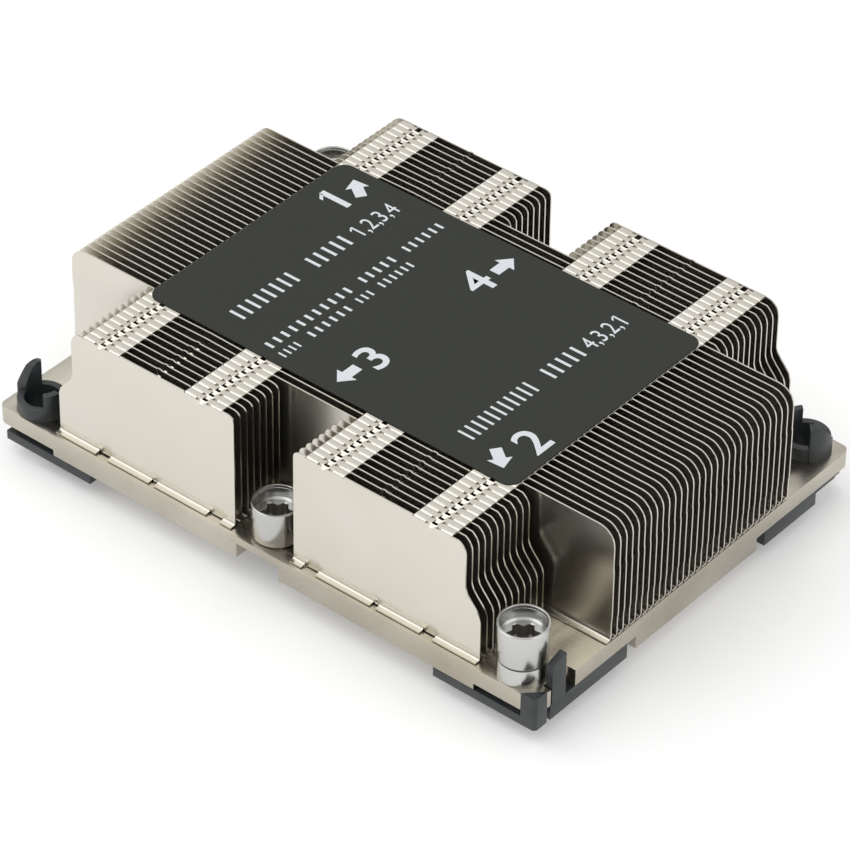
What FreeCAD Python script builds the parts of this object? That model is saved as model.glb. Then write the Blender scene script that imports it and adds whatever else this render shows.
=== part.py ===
"""Low passive heatsink for a server processor: folded fins on a plated base, captive nuts, processor clip.

Axes: X runs along the fins, Y runs across them from the front edge to the back edge, and Z points up.
The origin is at the centre of the footprint, in the plane on which the processor clip stands.
"""
import FreeCAD, Part
import math
import os
import Sketcher

SIZES = {
    # Base plate: a thin plate with two shoulders, a slab across its middle and a contact pad below that.
    "plate_length": 108.0,
    "plate_width": 78.0,
    "plate_corner": 1.5,
    "plate_thickness": 3.0,
    "shoulder_margin": 0.2,
    "shoulder_thickness": 4.1,
    "slab_width": 30.0,
    "slab_thickness": 5.4,
    "contact_length": 60.0,
    "contact_width": 44.0,
    "contact_proud": 0.5,
    "notch_half_width": 4.25,
    "bridge_thickness": 1.4,
    "corner_cut": 3.0,
    "edge_notch_depth": 1.5,
    "edge_notch_room": 2.3,
    # Fin stack: folded sheets, each with feet on the plate and caps that reach the next sheet.
    "fin_sheet": 0.4,
    "fin_height": 21.1,
    "front_margin": 1.65,
    "back_margin": 0.03,
    "short_rows": 8,
    "medium_rows": 3,
    "long_rows": 31,
    "long_inset": 0.1,
    "long_corner": 3.0,
    "foot_inset": 11.9,
    "waist_inset": 3.0,
    "waist_corner": 2.6,
    "slant_bottom": 8.0,
    "slant_top": 11.8,
    "gap_half": 5.9,
    "gap_corner": 1.2,
    "cap_width": 7.3,
    "inner_cap_inset": 1.3,
    "outer_cap_inset": 0.1,
    # Label on the caps of the long fins.
    "label_inset": 0.7,
    "label_overhang": 0.5,
    "label_corner": 2.2,
    "label_thickness": 0.2,
    # Captive nuts, their spacer collars and retaining rings.
    "corner_nut_inset_x": 5.8,
    "corner_nut_inset_y": 4.1,
    "middle_nut_inset": 4.7,
    "cup_radius": 4.05,
    "cup_height": 6.5,
    "cup_wall": 0.4,
    "cup_depth": 2.5,
    "floor_radius": 3.3,
    "lobe_radius": 2.3,
    "lobe_root": 1.6,
    "lobe_depth": 2.3,
    "stem_radius": 2.2,
    "thread_radius": 1.65,
    "thread_depth": 5.0,
    "collar_radius": 3.9,
    "collar_height": 3.2,
    "turning_gap": 0.05,
    "ring_radius": 2.75,
    "corner_ring_height": 2.1,
    "middle_ring_height": 2.9,
    # Processor clip.
    "frame_height": 3.0,
    "frame_side": 7.5,
    "frame_bar": 3.3,
    "processor_length": 77.0,
    "processor_width": 57.4,
    "rail_drop": 5.8,
    "rail_height": 1.6,
    "rail_width": 1.5,
    "rail_start_inset": 19.4,
    "rail_end_inset": 1.7,
    "far_rail_inset": 8.7,
    "pad_inset": 11.0,
    "slab_clearance": 2.1,
    "block_clearance": 2.2,
    "block_inset_x": 3.5,
    "block_inset_y": 5.0,
    "fit_gap": 0.15,
    "nut_clearance": 0.5,
    "guide_radius": 4.0,
    "guide_wall": 1.1,
    "guide_height": 2.3,
    "guide_tube_wall": 0.2,
    "outer_post_height": 7.2,
    "outer_post_point": 1.1,
    "outer_post_proud": 0.5,
    "inner_post_height": 5.8,
    "hook_inset": 3.9,
    "hook_length": 3.2,
    "hook_height": 5.0,
    "hook_slant": 0.9,
    "hook_thickness": 1.25,
    "corner_post_height": 0.3,
}
# Where the guides' posts stand on their rings, in degrees from the way to the near short edge.
OUTER_POST_ANGLES = (-46, 14)
INNER_POST_ANGLES = (136, 176)


class Size(float):
    """A length in millimetres that also carries the sheet formula it comes from."""

    def __new__(cls, number, formula):
        size = super().__new__(cls, number)
        size.formula = formula
        return size

    def __add__(self, other):
        return Size(float(self) + float(other), f"({self.formula} + {formula_of(other)})")

    def __sub__(self, other):
        return Size(float(self) - float(other), f"({self.formula} - {formula_of(other)})")

    def __mul__(self, other):
        return Size(float(self) * float(other), f"({self.formula} * {formula_of(other)})")

    def __truediv__(self, other):
        return Size(float(self) / float(other), f"({self.formula} / {formula_of(other)})")

    def __neg__(self):
        return self * -1

    __radd__ = __add__
    __rmul__ = __mul__


def formula_of(value):
    """Text of a size or of a plain number, as the sheet's formulas write it."""
    if isinstance(value, Size):
        return value.formula
    return f"({float(value):.9f})"


def make_sheet(doc):
    """Spreadsheet with one named cell for each driving size."""
    sheet = doc.addObject("Spreadsheet::Sheet", "Sizes")
    for row, (name, number) in enumerate(SIZES.items(), start=1):
        sheet.set(f"A{row}", name)
        sheet.set(f"B{row}", str(number))
        sheet.setAlias(f"B{row}", name)
    return sheet


doc = FreeCAD.newDocument("ServerHeatsink")
make_sheet(doc)
doc.recompute()
S = {name: Size(number, f"Sizes.{name}") for name, number in SIZES.items()}
NOWHERE = Size(0.0, "0")

# Heights that several pieces share, above the plane on which the clip stands.
plate_top = S["frame_height"] + S["slab_thickness"]
plate_underside = plate_top - S["plate_thickness"]
fin_top = plate_top + S["fin_height"]
rail_bottom = plate_top - S["rail_drop"]

# Distances from the centre that several pieces share.
plate_end = S["plate_length"] / 2
plate_side = S["plate_width"] / 2
corner_nut_x = plate_end - S["corner_nut_inset_x"]
corner_nut_y = plate_side - S["corner_nut_inset_y"]
middle_nut_y = plate_side - S["middle_nut_inset"]
foot_end = plate_end - S["foot_inset"]
waist_end = foot_end - S["waist_inset"]
cap_end = waist_end - S["waist_corner"] - S["outer_cap_inset"]
hook_end = plate_side - S["hook_inset"]
hook_start = hook_end - S["hook_length"]
notch_end = hook_end + S["fit_gap"] * 2
guide_bore = S["guide_radius"] - S["guide_wall"]
guide_tube = guide_bore + S["guide_tube_wall"]
frame_end = S["processor_length"] / 2 + S["frame_side"]
pad_side_start = S["slab_width"] / 2 + S["slab_clearance"]

# The rows of fins share the plate's width evenly.
ROWS = 2 * SIZES["short_rows"] + 2 * SIZES["medium_rows"] + SIZES["long_rows"]
fin_pitch = (S["plate_width"] - S["front_margin"] - S["back_margin"] - S["fin_sheet"]) / (ROWS - 1)
parts = []


def bind(item, name, value):
    """Give a property its formula from the sheet."""
    item.setExpression(name, formula_of(value))


def new_body(label, x=None, y=None, z=None):
    """Body of one sub-part, placed by formulas where it isn't at the origin."""
    body = doc.addObject("PartDesign::Body", label)
    body.Label = label
    for axis, value in (("x", x), ("y", y), ("z", z)):
        if value is not None:
            bind(body, f"Placement.Base.{axis}", value)
    parts.append(body)
    return body


def origin_feature(body, role):
    """Origin plane or axis of a body, found by its role."""
    return next(item for item in body.Origin.OriginFeatures if item.Role == role)


def new_sketch(body, name, role="XY_Plane", height=None):
    """Sketch on an origin plane of its own body, moved along the plane's normal by a formula."""
    sketch = body.newObject("Sketcher::SketchObject", name)
    sketch.AttachmentSupport = [(origin_feature(body, role), "")]
    sketch.MapMode = "FlatFace"
    if height is not None:
        bind(sketch, "AttachmentOffset.Base.z", height)
    return sketch


def pin_point(sketch, item, end, x, y):
    """Fix a point of a sketch by its two distances from the sketch's origin."""
    for kind, value, axis in (("DistanceX", x, -2), ("DistanceY", y, -1)):
        if float(value) == 0.0:
            sketch.addConstraint(Sketcher.Constraint("PointOnObject", item, end, axis))
        else:
            index = sketch.addConstraint(Sketcher.Constraint(kind, -1, 1, item, end, float(value)))
            bind(sketch, f"Constraints[{index}]", value)


def draw_circle(sketch, x, y, radius):
    """Circle with its centre and radius held by formulas."""
    centre = FreeCAD.Vector(x, y, 0)
    item = sketch.addGeometry(Part.Circle(centre, FreeCAD.Vector(0, 0, 1), float(radius)), False)
    pin_point(sketch, item, 3, x, y)
    index = sketch.addConstraint(Sketcher.Constraint("Radius", item, float(radius)))
    bind(sketch, f"Constraints[{index}]", radius)


def arc_between(start, end, radius):
    """Arc from start to end: a positive radius bulges to the right of the way, a negative one to the left."""
    middle = (start + end) * 0.5
    half = (end - start) * 0.5
    left = FreeCAD.Vector(-half.y, half.x, 0).normalize()
    rise = math.sqrt(max(radius * radius - half.Length ** 2, 0.0))
    centre = middle + left * math.copysign(rise, radius)
    first, last = (start, end) if radius > 0 else (end, start)
    angles = [math.atan2(point.y - centre.y, point.x - centre.x) for point in (first, last)]
    circle = Part.Circle(centre, FreeCAD.Vector(0, 0, 1), abs(radius))
    return Part.ArcOfCircle(circle, angles[0], angles[1])


def draw_loop(sketch, corners):
    """Closed outline through corners (x, y) or (x, y, radius): the radius rounds the way to the next one."""
    ends = []
    for index, corner in enumerate(corners):
        following = corners[(index + 1) % len(corners)]
        start = FreeCAD.Vector(corner[0], corner[1], 0)
        end = FreeCAD.Vector(following[0], following[1], 0)
        if len(corner) == 2:
            item = sketch.addGeometry(Part.LineSegment(start, end), False)
            ends.append((item, 1, 2))
            continue
        radius = corner[2]
        item = sketch.addGeometry(arc_between(start, end, float(radius)), False)
        ends.append((item, 1, 2) if radius > 0 else (item, 2, 1))
        number = sketch.addConstraint(Sketcher.Constraint("Radius", item, abs(float(radius))))
        bind(sketch, f"Constraints[{number}]", radius if radius > 0 else -radius)
    for index, (item, _, last) in enumerate(ends):
        following = ends[(index + 1) % len(ends)]
        sketch.addConstraint(Sketcher.Constraint("Coincident", item, last, following[0], following[1]))
    for (item, first, _), corner in zip(ends, corners):
        pin_point(sketch, item, first, corner[0], corner[1])


def rectangle(left, right, low, high):
    """Corners of a rectangle, anticlockwise."""
    return [(left, low), (right, low), (right, high), (left, high)]


def rounded_rectangle(half_length, half_width, corner):
    """Corners of a centred rectangle whose corners are quarter circles, anticlockwise."""
    return [
        (-half_length + corner, -half_width),
        (half_length - corner, -half_width, corner),
        (half_length, -half_width + corner),
        (half_length, half_width - corner, corner),
        (half_length - corner, half_width),
        (-half_length + corner, half_width, corner),
        (-half_length, half_width - corner),
        (-half_length, -half_width + corner, corner),
    ]


def turned(corners, half_turn):
    """The same corners, turned half way round the Z axis where half_turn is true."""
    if not half_turn:
        return corners
    return [(-corner[0], -corner[1], *corner[2:]) for corner in corners]


def ring_sector(x, y, inner, outer, start, end):
    """Corners of a piece of a ring between two angles in degrees, less than a half turn apart."""
    corners = []
    steps = ((outer, start, outer), (outer, end, None), (inner, end, -inner), (inner, start, None))
    for radius, angle, bulge in steps:
        way_x = math.cos(math.radians(angle))
        way_y = math.sin(math.radians(angle))
        point = (x + radius * way_x, y + radius * way_y)
        corners.append(point if bulge is None else (*point, bulge))
    return corners


def pad(body, sketch, length, downwards=False):
    """Pad of a sketch along its normal, or against it."""
    feature = body.newObject("PartDesign::Pad", sketch.Name + "_pad")
    feature.Profile = sketch
    feature.Reversed = downwards
    bind(feature, "Length", length)
    sketch.Visibility = False
    return feature


def pocket(body, sketch, length=None, upwards=False, both_ways=False):
    """Pocket of a sketch; with no length it goes through everything on its side."""
    doc.recompute()
    before = body.Shape.Volume
    feature = body.newObject("PartDesign::Pocket", sketch.Name + "_pocket")
    feature.Profile = sketch
    feature.Reversed = upwards
    feature.Midplane = both_ways
    if length is None:
        feature.Type = "ThroughAll"
    else:
        bind(feature, "Length", length)
    doc.recompute()
    if body.Shape.Volume > before - 1e-6:
        raise RuntimeError(f"{feature.Name} removes nothing")
    return feature


def add_plates(body, name, loops, height, length, downwards=False):
    """Pad of several outlines that lie at one height."""
    sketch = new_sketch(body, name, height=height)
    for corners in loops:
        draw_loop(sketch, corners)
    return pad(body, sketch, length, downwards)


def cut_plates(body, name, loops, height, length=None, upwards=False):
    """Pocket of several outlines that lie at one height."""
    sketch = new_sketch(body, name, height=height)
    for corners in loops:
        draw_loop(sketch, corners)
    return pocket(body, sketch, length, upwards)


# ---------------------------------------------------------------------------------------------- base plate

NUT_PLACES = {
    "1": (-corner_nut_x, corner_nut_y),
    "2": (corner_nut_x, -corner_nut_y),
    "3": (NOWHERE, -middle_nut_y),
    "4": (NOWHERE, middle_nut_y),
}


def edge_notch(half_turn):
    """Outline of the notch in a short edge through which the clip's hook rises."""
    outside = plate_end + 1
    bottom = plate_end - S["edge_notch_depth"]
    return turned(rectangle(bottom, outside, -notch_end, S["edge_notch_room"] - hook_start), half_turn)


def plate_outline():
    """Outline of the plate: two corners are rounded and the others are cut for the clip's corner posts."""
    corner = S["plate_corner"]
    half = [
        (-plate_end + corner, -plate_side),
        (plate_end - S["corner_cut"], -plate_side),
        (plate_end, -plate_side + S["corner_cut"]),
        (plate_end, plate_side - corner, corner),
    ]
    return half + turned(half, True)


def nut_notch(half_turn):
    """Outline of the round-ended notch under the bridge of a middle nut."""
    wide = S["notch_half_width"]
    outside = plate_side + 1
    corners = [
        (-wide, -outside),
        (wide, -outside),
        (wide, -middle_nut_y, wide),
        (NOWHERE, -middle_nut_y + wide, wide),
        (-wide, -middle_nut_y),
    ]
    return turned(corners, half_turn)


def make_base_plate():
    """Plate with shoulders along its long edges, a slab across its middle and a contact pad on the slab."""
    body = new_body("base_plate")
    add_plates(body, "plate", [plate_outline()], plate_top, S["plate_thickness"], downwards=True)
    shoulder = foot_end + S["shoulder_margin"]
    inside = S["slab_width"] / 2
    shoulders = [
        rectangle(-shoulder, shoulder, inside, plate_side),
        rectangle(-shoulder, shoulder, -plate_side, -inside),
    ]
    slab = [rectangle(-plate_end, plate_end, -inside, inside)]
    slab_step = S["slab_thickness"] - S["plate_thickness"]
    add_plates(body, "slab", slab, plate_underside, slab_step, downwards=True)
    step = S["shoulder_thickness"] - S["plate_thickness"]
    add_plates(body, "shoulders", shoulders, plate_underside, step, downwards=True)
    contact_x = S["contact_length"] / 2
    contact_y = S["contact_width"] / 2
    contact = [rectangle(-contact_x, contact_x, -contact_y, contact_y)]
    contact_step = slab_step + S["contact_proud"]
    add_plates(body, "contact_pad", contact, plate_underside, contact_step, downwards=True)
    bridge_underside = plate_top - S["bridge_thickness"]
    cut_plates(body, "nut_notches", [nut_notch(False), nut_notch(True)], bridge_underside)
    cut_plates(body, "edge_notches", [edge_notch(False), edge_notch(True)], plate_top)
    holes = new_sketch(body, "holes", height=plate_top)
    for x, y in NUT_PLACES.values():
        draw_circle(holes, x, y, S["stem_radius"] + S["turning_gap"])
    for way in (-1, 1):
        draw_circle(holes, corner_nut_x * way, corner_nut_y * way, guide_tube + S["fit_gap"])
    pocket(body, holes)
    return body


# ------------------------------------------------------------------------------------------------- fins

def fin_front(row):
    """Front face of the sheet in a row, counted from the front edge of the stack."""
    return fin_pitch * row + S["front_margin"] - plate_side


def mirrored(right_side):
    """Closed outline of the right side's corners and their mirror image, from the bottom to the top."""
    left_side = []
    for index in range(len(right_side) - 1, -1, -1):
        corner = right_side[index]
        before = right_side[index - 1] if index else ()
        left_side.append((-corner[0], corner[1], *before[2:]))
    return right_side + left_side


def long_side():
    """Right side of a long fin: upright, with one rounded top corner."""
    long_end = plate_end - S["long_inset"]
    return [
        (long_end, NOWHERE),
        (long_end, S["fin_height"] - S["long_corner"], S["long_corner"]),
        (long_end - S["long_corner"], S["fin_height"]),
    ]


def waisted_side():
    """Right side of a short or medium fin: a wide foot, a slant inwards and a rounded top corner."""
    return [
        (foot_end, NOWHERE),
        (foot_end, S["slant_bottom"]),
        (waist_end, S["slant_top"]),
        (waist_end, S["fin_height"] - S["waist_corner"], S["waist_corner"]),
        (waist_end - S["waist_corner"], S["fin_height"]),
    ]


def gap_side():
    """Inner side of a short fin, beside the gap over a middle nut, from the top to the bottom."""
    return [
        (S["gap_half"] + S["gap_corner"], S["fin_height"], S["gap_corner"]),
        (S["gap_half"], S["fin_height"] - S["gap_corner"]),
        (S["gap_half"], NOWHERE),
    ]


def flipped(corners):
    """Outline on the other side of the YZ plane, kept anticlockwise."""
    count = len(corners)
    return [(-corners[-i][0], corners[-i][1], *corners[(-i - 1) % count][2:]) for i in range(count)]


def add_fin_sheet(body, outline):
    """Upright sheet of a fin, from its front face backwards."""
    sketch = new_sketch(body, "sheet", "XZ_Plane")
    draw_loop(sketch, outline)
    return pad(body, sketch, S["fin_sheet"], downwards=True)


def add_foot(body, start, end):
    """Foot folded forwards along the bottom edge, as far as the sheet before it."""
    reach = fin_pitch - S["fin_sheet"]
    return add_plates(body, "foot", [rectangle(start, end, -reach, NOWHERE)], None, S["fin_sheet"])


def add_caps(body, spans):
    """Caps folded backwards along the top edge, one for each span in X."""
    loops = [rectangle(start, end, S["fin_sheet"], fin_pitch) for start, end in spans]
    return add_plates(body, "caps", loops, S["fin_height"], S["fin_sheet"], downwards=True)


def cap_spans(side):
    """Spans of the two caps on one side: 1 is right and -1 is left."""
    inner_start = S["gap_half"] + S["gap_corner"] + S["inner_cap_inset"]
    spans = [(inner_start, inner_start + S["cap_width"]), (cap_end - S["cap_width"], cap_end)]
    return [tuple(sorted((start * side, end * side))) for start, end in spans]


def make_whole_fin(label, row, side_corners):
    """Fin that crosses the plate in one piece, on one long foot."""
    body = new_body(label, y=fin_front(row), z=plate_top)
    add_fin_sheet(body, mirrored(side_corners))
    half_foot = side_corners[0][0]
    add_foot(body, -half_foot, half_foot)
    add_caps(body, cap_spans(1) + cap_spans(-1))
    return body


def copy_fin(label, row, master):
    """Another fin of the same form as the master, in its own row."""
    body = new_body(label, y=fin_front(row), z=plate_top)
    copy = body.newObject("PartDesign::FeatureBase", label + "_form")
    copy.BaseFeature = master
    body.Tip = copy
    return body


def make_whole_fins(name, rows, side_corners):
    """Fins of one form in the given rows, the first as the master of the rest."""
    master = None
    for number, row in enumerate(rows, start=1):
        label = f"{name}_fin_{number:02d}"
        if master is None:
            master = make_whole_fin(label, row, side_corners)
        else:
            copy_fin(label, row, master)


def repeat_rows(body, features, count):
    """Linear pattern of fin features along Y, one copy for each row."""
    pattern = body.newObject("PartDesign::LinearPattern", "rows")
    pattern.Originals = features
    pattern.Direction = (origin_feature(body, "Y_Axis"), [""])
    pattern.Occurrences = count
    bind(pattern, "Length", fin_pitch * (count - 1))
    body.Tip = pattern
    return pattern


def make_short_pack(label, first_row, side, capped_rows):
    """Block of short fins on one side of a middle nut, joined where caps and feet meet the next sheet."""
    body = new_body(label, y=fin_front(first_row), z=plate_top)
    outline = waisted_side() + gap_side()
    sheet = add_fin_sheet(body, outline if side > 0 else flipped(outline))
    foot = add_foot(body, *sorted((S["gap_half"] * side, foot_end * side)))
    caps = add_caps(body, cap_spans(side))
    repeat_rows(body, [sheet, foot], SIZES["short_rows"])
    repeat_rows(body, [caps], capped_rows)
    return body


def make_fins():
    """The whole stack: short, medium, long, medium and short rows from front to back."""
    short = SIZES["short_rows"]
    medium = SIZES["medium_rows"]
    long_start = short + medium
    back_start = long_start + SIZES["long_rows"]
    medium_rows = list(range(short, long_start)) + list(range(back_start, back_start + medium))
    make_whole_fins("long", range(long_start, back_start), long_side())
    make_whole_fins("medium", medium_rows, waisted_side())
    for side, hand in ((-1, "left"), (1, "right")):
        make_short_pack(f"front_{hand}_fin_pack", 0, side, short)
        make_short_pack(f"back_{hand}_fin_pack", ROWS - short, side, short - 1)


# ------------------------------------------------------------------------------------------------- label

def make_label():
    """Label sheet stuck to the caps of the long fins."""
    body = new_body("top_label", z=fin_top)
    half_length = cap_end - S["label_inset"]
    half_width = fin_pitch * (SIZES["long_rows"] - 1) / 2 + S["label_overhang"]
    outline = rounded_rectangle(half_length, half_width, S["label_corner"])
    add_plates(body, "label", [outline], None, S["label_thickness"])


# ------------------------------------------------------------------------------------- nuts and their rings

def nut_profile(stem_length):
    """Half section of a nut: a cup on a stem that goes down through the plate."""
    floor = S["cup_height"] - S["cup_depth"]
    return [
        (NOWHERE, -stem_length),
        (S["stem_radius"], -stem_length),
        (S["stem_radius"], NOWHERE),
        (S["cup_radius"], NOWHERE),
        (S["cup_radius"], S["cup_height"]),
        (S["cup_radius"] - S["cup_wall"], S["cup_height"]),
        (S["floor_radius"], floor),
        (NOWHERE, floor),
    ]


def star_outline(points):
    """Outline of the six-lobed key recess, with its lobes and roots in turn."""
    corners = []
    for index in range(2 * points):
        radius = S["lobe_radius"] if index % 2 == 0 else S["lobe_root"]
        angle = math.pi * index / points + math.pi / (2 * points)
        corners.append((radius * math.cos(angle), radius * math.sin(angle)))
    return corners


def make_nut(number, x, y, seat, stem_length):
    """Captive nut with a six-lobed recess in its cup and a threaded hole from below."""
    body = new_body(f"nut_{number}", x, y, plate_top + seat + S["turning_gap"])
    section = new_sketch(body, "section", "XZ_Plane")
    draw_loop(section, nut_profile(stem_length))
    turning = body.newObject("PartDesign::Revolution", "turned_form")
    turning.Profile = section
    turning.ReferenceAxis = (section, ["V_Axis"])
    turning.Angle = 360
    doc.recompute()
    floor = S["cup_height"] - S["cup_depth"]
    cut_plates(body, "key_recess", [star_outline(6)], floor, S["lobe_depth"])
    thread = new_sketch(body, "thread_hole", height=-stem_length)
    draw_circle(thread, NOWHERE, NOWHERE, S["thread_radius"])
    pocket(body, thread, S["thread_depth"], upwards=True)


def make_ring(label, x, y, z, radius, bore, height):
    """Plain ring that stands on a plane: a spacer collar or a retaining ring."""
    body = new_body(label, x, y, z)
    sketch = new_sketch(body, "annulus")
    draw_circle(sketch, NOWHERE, NOWHERE, radius)
    draw_circle(sketch, NOWHERE, NOWHERE, bore)
    pad(body, sketch, height)


def make_nuts():
    """Four nuts: the corner ones stand on spacer collars and the middle ones on the plate's bridges."""
    gap = S["turning_gap"]
    for number, (x, y) in NUT_PLACES.items():
        at_corner = number in "12"
        seat = S["collar_height"] if at_corner else NOWHERE
        plate = S["plate_thickness"] if at_corner else S["bridge_thickness"]
        ring = S["corner_ring_height"] if at_corner else S["middle_ring_height"]
        stem_length = seat + plate + ring + gap * 2
        make_nut(number, x, y, seat, stem_length)
        ring_bottom = plate_top - plate - ring - gap
        make_ring(f"retaining_ring_{number}", x, y, ring_bottom, S["ring_radius"], S["stem_radius"], ring)
        if at_corner:
            bore = S["stem_radius"] + gap
            make_ring(f"collar_{number}", x, y, plate_top, S["collar_radius"], bore, S["collar_height"])


# --------------------------------------------------------------------------------------- processor clip

def corner_pad(side_x, side_y):
    """Pad under the thin corner of the plate, set back from the edges by the width of the rails."""
    inner = plate_end - S["pad_inset"]
    outer = plate_end - S["rail_width"]
    far = plate_side - S["rail_width"]
    return placed(rectangle(inner, outer, pad_side_start, far), side_x, side_y)


def placed(corners, side_x, side_y):
    """Corners of a plain outline mirrored into one quarter of the plate, kept anticlockwise."""
    result = [(x * side_x, y * side_y) for x, y in corners]
    return result if side_x * side_y > 0 else result[::-1]


def corner_block(side_x, side_y, inner):
    """Outline of an arm or block between the frame and a corner pad, from its inner end."""
    outer = plate_end - S["block_inset_x"]
    far = plate_side - S["block_inset_y"]
    return placed(rectangle(inner, outer, pad_side_start, far), side_x, side_y)


def long_rail(side_x, side_y):
    """Rail along a long edge of the plate, in one corner."""
    start = plate_end - S["rail_start_inset"]
    end = plate_end - S["rail_end_inset"]
    return placed(rectangle(start, end, plate_side - S["rail_width"] * 2, plate_side), side_x, side_y)


def short_rail(side_x, side_y):
    """Rail along a short edge of the plate, in one corner."""
    far = notch_end if side_x * side_y < 0 else plate_side - S["far_rail_inset"]
    near = plate_end - S["rail_width"] * 2
    return placed(rectangle(near, plate_end, pad_side_start, far), side_x, side_y)


def corner_post(half_turn):
    """Post that fills the cut corner of the plate."""
    reach = S["corner_cut"] - S["fit_gap"] * 1.5
    tip = S["plate_corner"] / 3
    corners = [
        (plate_end - reach, -plate_side),
        (plate_end - tip, -plate_side),
        (plate_end, -plate_side + tip),
        (plate_end, -plate_side + reach),
    ]
    return turned(corners, half_turn)


def hook_outline(half_turn):
    """Foot of the hook that rises through an edge notch."""
    return turned(rectangle(plate_end - S["hook_thickness"], plate_end, -hook_end, -hook_start), half_turn)


def add_slanted_tops(body):
    """Slanted tops of the two hooks, cut by a wedge that runs through them along X."""
    sketch = new_sketch(body, "hook_slants", "YZ_Plane")
    top = plate_top + S["hook_height"]
    low = top - S["hook_slant"]
    for side in (-1, 1):
        near = hook_start * side
        far = hook_end * side
        draw_loop(sketch, [(near, top), (far, low), (far, top + 1), (near, top + 1)][::side])
    pocket(body, sketch, S["plate_length"] + 1, both_ways=True)


def add_pointed_tops(body):
    """Pointed tops of the guides' outer posts, cut by a notched outline that runs along X."""
    sketch = new_sketch(body, "post_points", "YZ_Plane")
    top = plate_top + S["outer_post_height"]
    low = top - S["outer_post_point"]
    reach = S["guide_radius"] + S["outer_post_proud"]
    start, end = (math.sin(math.radians(angle)) for angle in OUTER_POST_ANGLES)
    for side in (-1, 1):
        near = (corner_nut_y + reach * start) * side
        peak = (corner_nut_y + reach * (start + end) / 2) * side
        far = (corner_nut_y + reach) * side
        beyond = (corner_nut_y + reach * end) * side
        corners = [(near, low), (peak, top), (beyond, low), (far, low), (far, top + 1), (near, top + 1)]
        draw_loop(sketch, corners[::side])
    pocket(body, sketch, S["plate_length"] + 1, both_ways=True)


def add_guide(body, way):
    """Guide collar over a plate hole, with a tall outer post and a lower inner post: way is 1 or -1."""
    x = corner_nut_x * way
    y = corner_nut_y * way
    name = "right" if way > 0 else "left"
    outer = S["guide_radius"]
    proud = outer + S["outer_post_proud"]
    turn = 0 if way > 0 else 180
    collar = new_sketch(body, f"{name}_guide_collar", height=plate_top)
    draw_circle(collar, x, y, outer)
    draw_circle(collar, x, y, guide_bore)
    pad(body, collar, S["guide_height"])
    tube = new_sketch(body, f"{name}_guide_tube", height=rail_bottom)
    draw_circle(tube, x, y, guide_tube)
    draw_circle(tube, x, y, guide_bore)
    pad(body, tube, S["rail_drop"])
    outer_post = [ring_sector(x, y, guide_bore, proud, *(turn + angle for angle in OUTER_POST_ANGLES))]
    add_plates(body, f"{name}_outer_post", outer_post, plate_top, S["outer_post_height"])
    inner_post = [ring_sector(x, y, guide_bore, outer, *(turn + angle for angle in INNER_POST_ANGLES))]
    add_plates(body, f"{name}_inner_post", inner_post, plate_top, S["inner_post_height"])


def make_clip():
    """Processor clip: a frame round the processor, pads, rails and posts at the corners, hooks and guides."""
    body = new_body("processor_clip")
    frame = new_sketch(body, "frame")
    bay_end = S["processor_length"] / 2
    bay_side = S["processor_width"] / 2
    draw_loop(frame, rounded_rectangle(frame_end, bay_side + S["frame_bar"], S["plate_corner"]))
    draw_loop(frame, rounded_rectangle(bay_end, bay_side, S["plate_corner"]))
    pad(body, frame, S["frame_height"])
    quarters = [(side_x, side_y) for side_x in (-1, 1) for side_y in (-1, 1)]
    arm_start = frame_end - S["rail_width"]
    block_start = foot_end + S["shoulder_margin"] + S["block_clearance"]
    arms = [corner_block(*quarter, arm_start) for quarter in quarters]
    add_plates(body, "arms", arms, None, S["frame_height"])
    blocks = [corner_block(*quarter, block_start) for quarter in quarters]
    block_height = plate_underside - S["frame_height"]
    add_plates(body, "blocks", blocks, S["frame_height"], block_height)
    pad_height = S["rail_drop"] - S["plate_thickness"]
    add_plates(body, "pads", [corner_pad(*quarter) for quarter in quarters], rail_bottom, pad_height)
    long_rails = [long_rail(*quarter) for quarter in quarters]
    add_plates(body, "long_rails", long_rails, rail_bottom, S["rail_height"])
    add_plates(body, "short_rails", [short_rail(*quarter) for quarter in quarters], rail_bottom, pad_height)
    posts = [corner_post(half_turn) for half_turn in (False, True)]
    add_plates(body, "corner_posts", posts, rail_bottom, S["rail_drop"] + S["corner_post_height"])
    hooks = [hook_outline(half_turn) for half_turn in (False, True)]
    add_plates(body, "hooks", hooks, rail_bottom, S["rail_drop"] + S["hook_height"])
    add_slanted_tops(body)
    openings = new_sketch(body, "nut_openings", height=plate_underside)
    for number in "12":
        draw_circle(openings, *NUT_PLACES[number], S["ring_radius"] + S["nut_clearance"])
    for way in (-1, 1):
        draw_circle(openings, corner_nut_x * way, corner_nut_y * way, guide_bore)
    pocket(body, openings)
    for way in (-1, 1):
        add_guide(body, way)
    add_pointed_tops(body)


# ---------------------------------------------------------------------------------------- build and write

def check_document():
    """Stop on any failed feature and on any sub-part whose solid isn't sound."""
    for item in doc.Objects:
        if "Invalid" in item.State or "Error" in item.State:
            raise RuntimeError(f"{item.Name} failed: {item.State}")
    for part in parts:
        if part.Shape.isNull() or not part.Shape.isValid() or not part.Shape.Solids:
            raise RuntimeError(f"{part.Label} has no sound solid")


make_base_plate()
make_fins()
make_label()
make_nuts()
make_clip()
doc.recompute()
check_document()
os.makedirs("parts", exist_ok=True)
for part in parts:
    part.Shape.exportStep(f"parts/{part.Label}.step")
    box = part.Shape.BoundBox
    print(f"{part.Label}: {len(part.Shape.Solids)} solid, {part.Shape.Volume:.1f} mm3,"
          f" z {box.ZMin:.2f} to {box.ZMax:.2f}")
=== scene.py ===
import logging
from dataclasses import dataclass, field
from enum import Enum
from math import atan2, copysign, cos, degrees, hypot, pi, radians, sin, sqrt

import bmesh
import bpy
from bpy.types import Material, Mesh, Node, NodeSocket, NodeTree, Object, World
from mathutils import Matrix, Vector


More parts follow.
